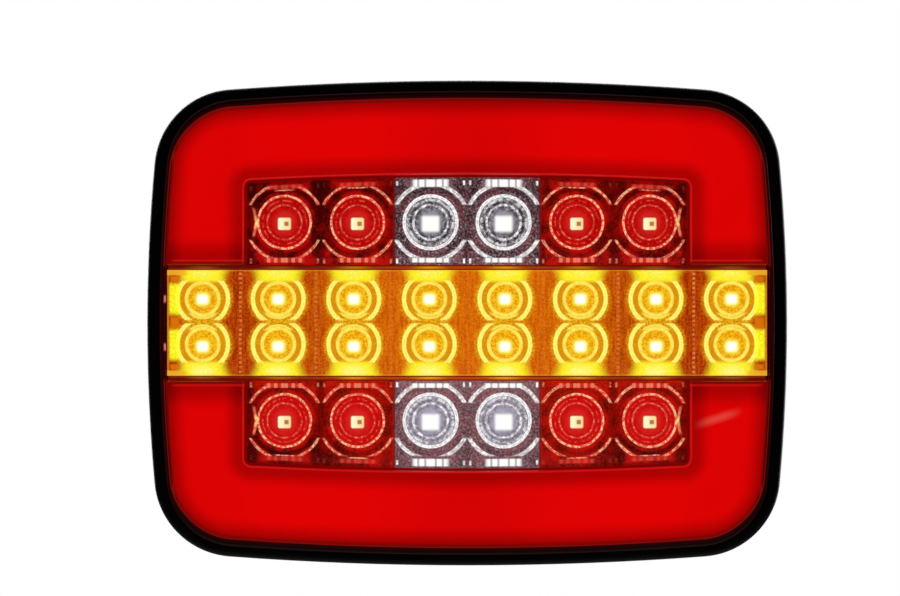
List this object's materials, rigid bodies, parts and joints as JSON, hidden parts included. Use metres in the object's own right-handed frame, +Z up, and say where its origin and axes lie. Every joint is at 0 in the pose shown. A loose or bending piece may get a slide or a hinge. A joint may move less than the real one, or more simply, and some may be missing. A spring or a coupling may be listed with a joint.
{
  "type": "trailer tail light",
  "caption": "Square LED trailer tail light with a glowing red tail arch, stop, reverse and indicator optics behind a clear lens, fixed from behind by studs and nuts.",
  "frame": {"origin": "centre of the rear gasket's back face, which lies on the panel the lamp is fixed to", "axes": "+Y out of the back along the fixing studs, the lens faces -Y, +X to the right seen from the front, +Z up"},
  "size_m": [0.13, 0.0539, 0.0984],
  "materials": {
    "black_plastic": "glossy moulded black",
    "dark_plastic": "dark moulded frame",
    "clear_lens": "polished clear polycarbonate",
    "black_rubber": "matt rubber",
    "grey_foam": "closed-cell foam",
    "zinc_steel": "zinc-plated",
    "screw_steel": "plain screw steel",
    "board_green": "solder-masked glass epoxy",
    "white_plastic": "diffuse white",
    "red_guide": "lit red diffuser",
    "red_optic": "polished ring lenses, lit red",
    "clear_optic": "polished ring lenses, lit white",
    "amber_optic": "polished ring lenses, lit amber",
    "red_led": "lit package",
    "white_led": "lit package",
    "amber_led": "lit package",
    "chip_black": "moulded epoxy",
    "can_aluminium": "drawn can",
    "terminal_plastic": "moulded"
  },
  "bodies": {
    "lamp": {"housing": "black_plastic", "front_lens": "clear_lens", "lens_seal": "black_rubber", "rear_gasket": "grey_foam", "cable_grommet": "black_rubber", "stud_left": "zinc_steel", "stud_right": "zinc_steel", "circuit_board": "board_green", "board_screw_upper_left": "screw_steel", "board_screw_upper_right": "screw_steel", "board_screw_lower_left": "screw_steel", "board_screw_lower_right": "screw_steel", "regulator_chip": "chip_black", "smoothing_capacitor": "can_aluminium", "wire_terminal": "terminal_plastic", "inner_frame": "dark_plastic", "tail_reflector_upper": "white_plastic", "tail_reflector_lower": "white_plastic", "upper_light_guide": "red_guide", "lower_light_guide": "red_guide", "stop_optic_upper_left": "red_optic", "stop_optic_upper_right": "red_optic", "stop_optic_lower_left": "red_optic", "stop_optic_lower_right": "red_optic", "reverse_optic_upper": "clear_optic", "reverse_optic_lower": "clear_optic", "indicator_optic": "amber_optic", "stop_led_upper_1": "red_led", "stop_led_upper_2": "red_led", "stop_led_upper_3": "red_led", "stop_led_upper_4": "red_led", "stop_led_lower_1": "red_led", "stop_led_lower_2": "red_led", "stop_led_lower_3": "red_led", "stop_led_lower_4": "red_led", "reverse_led_upper_1": "white_led", "reverse_led_upper_2": "white_led", "reverse_led_lower_1": "white_led", "reverse_led_lower_2": "white_led", "indicator_led_upper_1": "amber_led", "indicator_led_upper_2": "amber_led", "indicator_led_upper_3": "amber_led", "indicator_led_upper_4": "amber_led", "indicator_led_upper_5": "amber_led", "indicator_led_upper_6": "amber_led", "indicator_led_upper_7": "amber_led", "indicator_led_upper_8": "amber_led", "indicator_led_lower_1": "amber_led", "indicator_led_lower_2": "amber_led", "indicator_led_lower_3": "amber_led", "indicator_led_lower_4": "amber_led", "indicator_led_lower_5": "amber_led", "indicator_led_lower_6": "amber_led", "indicator_led_lower_7": "amber_led", "indicator_led_lower_8": "amber_led"},
    "left_washer": {"washer_left": "zinc_steel"},
    "left_nut": {"nut_left": "zinc_steel"},
    "right_washer": {"washer_right": "zinc_steel"},
    "right_nut": {"nut_right": "zinc_steel"}
  },
  "joints": [
    {"name": "left_washer_slide", "type": "slide", "parent": "lamp", "child": "left_washer", "axis": [0, 1, 0], "range_m": [0, 0.0096]},
    {"name": "left_nut_turn", "type": "hinge", "parent": "left_washer", "child": "left_nut", "pos_m": [-0.025, 0, 0], "axis": [0, 1, 0], "range_deg": [0, 4320]},
    {"name": "right_washer_slide", "type": "slide", "parent": "lamp", "child": "right_washer", "axis": [0, 1, 0], "range_m": [0, 0.0096]},
    {"name": "right_nut_turn", "type": "hinge", "parent": "right_washer", "child": "right_nut", "pos_m": [0.025, 0, 0], "axis": [0, 1, 0], "range_deg": [0, 4320]}
  ],
  "couplings": [
    {"joint": "left_nut_turn", "follows": "left_washer_slide", "rad_per_m": 7854},
    {"joint": "right_nut_turn", "follows": "right_washer_slide", "rad_per_m": 7854}
  ]
}
